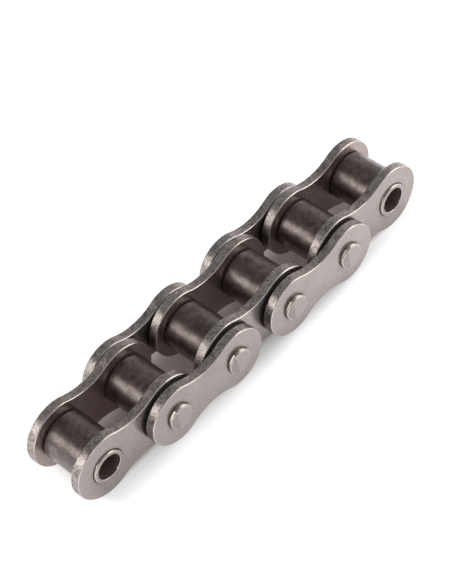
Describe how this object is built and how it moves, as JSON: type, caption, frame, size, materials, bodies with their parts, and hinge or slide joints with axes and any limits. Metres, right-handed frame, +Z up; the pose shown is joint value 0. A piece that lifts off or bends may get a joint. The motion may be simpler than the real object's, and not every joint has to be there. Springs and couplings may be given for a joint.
{
  "type": "motorcycle roller chain section",
  "caption": "Straight section of steel roller chain with alternating waisted inner and outer links, bushes, free rollers and staked pins, open bush bores at both ends.",
  "frame": {"origin": "on the surface that the chain stands on, below the middle of its third link", "axes": "+X along the chain from the near end to the far end, +Y along the pins from front to back, +Z up"},
  "size_m": [0.0938, 0.0206, 0.0144],
  "materials": {
    "inner_plate_steel": "satin",
    "outer_plate_steel": "satin",
    "bush_steel": "polished",
    "roller_steel": "dark heat-treated",
    "pin_steel": "satin"
  },
  "bodies": {
    "inner_link_1": {"inner_plate_1_front": "inner_plate_steel", "inner_plate_1_back": "inner_plate_steel", "bush_1": "bush_steel", "bush_2": "bush_steel"},
    "inner_link_3": {"inner_plate_3_front": "inner_plate_steel", "inner_plate_3_back": "inner_plate_steel", "bush_3": "bush_steel", "bush_4": "bush_steel"},
    "inner_link_5": {"inner_plate_5_front": "inner_plate_steel", "inner_plate_5_back": "inner_plate_steel", "bush_5": "bush_steel", "bush_6": "bush_steel"},
    "outer_link_2": {"outer_plate_2_front": "outer_plate_steel", "outer_plate_2_back": "outer_plate_steel", "pin_2": "pin_steel", "pin_3": "pin_steel"},
    "outer_link_4": {"outer_plate_4_front": "outer_plate_steel", "outer_plate_4_back": "outer_plate_steel", "pin_4": "pin_steel", "pin_5": "pin_steel"},
    "roller_1": {"roller_1": "roller_steel"},
    "roller_2": {"roller_2": "roller_steel"},
    "roller_3": {"roller_3": "roller_steel"},
    "roller_4": {"roller_4": "roller_steel"},
    "roller_5": {"roller_5": "roller_steel"},
    "roller_6": {"roller_6": "roller_steel"}
  },
  "joints": [
    {"name": "pin_3_hinge", "type": "hinge", "parent": "inner_link_3", "child": "outer_link_2", "pos_m": [-0.00794, 0, 0.0072], "axis": [0, -1, 0], "range_deg": [-60, 60]},
    {"name": "pin_2_hinge", "type": "hinge", "parent": "outer_link_2", "child": "inner_link_1", "pos_m": [-0.02381, 0, 0.0072], "axis": [0, -1, 0], "range_deg": [-60, 60]},
    {"name": "pin_4_hinge", "type": "hinge", "parent": "inner_link_3", "child": "outer_link_4", "pos_m": [0.00794, 0, 0.0072], "axis": [0, 1, 0], "range_deg": [-60, 60]},
    {"name": "pin_5_hinge", "type": "hinge", "parent": "outer_link_4", "child": "inner_link_5", "pos_m": [0.02381, 0, 0.0072], "axis": [0, 1, 0], "range_deg": [-60, 60]},
    {"name": "roller_1_spin", "type": "hinge", "parent": "inner_link_1", "child": "roller_1", "pos_m": [-0.03969, 0, 0.0072], "axis": [0, 1, 0], "continuous": true},
    {"name": "roller_2_spin", "type": "hinge", "parent": "inner_link_1", "child": "roller_2", "pos_m": [-0.02381, 0, 0.0072], "axis": [0, 1, 0], "continuous": true},
    {"name": "roller_3_spin", "type": "hinge", "parent": "inner_link_3", "child": "roller_3", "pos_m": [-0.00794, 0, 0.0072], "axis": [0, 1, 0], "continuous": true},
    {"name": "roller_4_spin", "type": "hinge", "parent": "inner_link_3", "child": "roller_4", "pos_m": [0.00794, 0, 0.0072], "axis": [0, 1, 0], "continuous": true},
    {"name": "roller_5_spin", "type": "hinge", "parent": "inner_link_5", "child": "roller_5", "pos_m": [0.02381, 0, 0.0072], "axis": [0, 1, 0], "continuous": true},
    {"name": "roller_6_spin", "type": "hinge", "parent": "inner_link_5", "child": "roller_6", "pos_m": [0.03969, 0, 0.0072], "axis": [0, 1, 0], "continuous": true}
  ]
}
